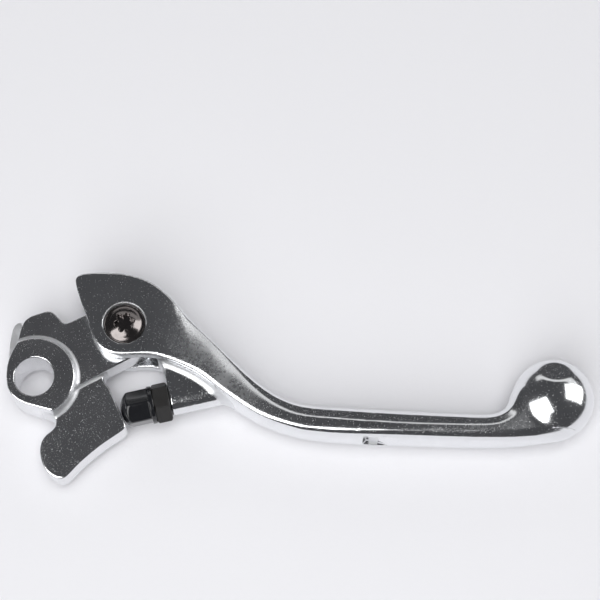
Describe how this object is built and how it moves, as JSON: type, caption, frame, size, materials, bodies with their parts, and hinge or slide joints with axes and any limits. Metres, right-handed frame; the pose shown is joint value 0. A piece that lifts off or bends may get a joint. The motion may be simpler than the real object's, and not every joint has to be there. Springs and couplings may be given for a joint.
{
  "type": "motorcycle brake lever",
  "caption": "Forged aluminium hand brake lever: curved blade with a ball end, a pinned knuckle that pushes the master cylinder, and a threaded reach adjuster with lock nut.",
  "frame": {"origin": "on the axis of the knuckle's pivot bore, at the mid-plane of the boss", "axes": "+Z along the pivot bore towards the pivot screw's head, +X along the blade towards the ball end, +Y away from the handlebar, on the side that the fingers pull"},
  "size_m": [0.1632, 0.0581, 0.019],
  "materials": {
    "polished_aluminium": "forged, tumbled and polished bright, with fine speckle",
    "forged_aluminium": "forged and tumbled, slightly duller than the blade",
    "bronze": "sintered bronze, bored",
    "black_steel": "black oxide, satin",
    "gloss_black_steel": "black coated, glossy",
    "nylon": "blue nylon locking ring",
    "washer_steel": "plain stainless shim",
    "spring_steel": "bright spring wire"
  },
  "bodies": {
    "knuckle": {"knuckle": "forged_aluminium", "pivot_bush": "bronze", "return_spring": "spring_steel"},
    "blade": {"lever_blade": "polished_aluminium", "pivot_screw": "black_steel", "pivot_lock_nut": "black_steel", "lock_nut_insert": "nylon", "upper_thrust_washer": "washer_steel", "lower_thrust_washer": "washer_steel"},
    "adjuster": {"adjuster_bolt": "gloss_black_steel"},
    "lock_nut": {"adjuster_lock_nut": "black_steel"}
  },
  "joints": [
    {"name": "reach_pivot", "type": "hinge", "parent": "knuckle", "child": "blade", "pos_m": [0.0246, 0.0149, 0], "axis": [0, 0, 1], "range_deg": [0, 10], "deforming": ["return_spring"]},
    {"name": "adjuster_travel", "type": "slide", "parent": "blade", "child": "adjuster", "axis": [-0.9744, -0.225, 0], "range_m": [0, 0.004]},
    {"name": "lock_nut_spin", "type": "hinge", "parent": "blade", "child": "lock_nut", "pos_m": [0.0372, -0.0053, 0], "axis": [0.9744, 0.225, 0], "continuous": true}
  ],
  "couplings": [
    {"joint": "adjuster_travel", "follows": "reach_pivot", "m_per_rad": 0.02236}
  ]
}
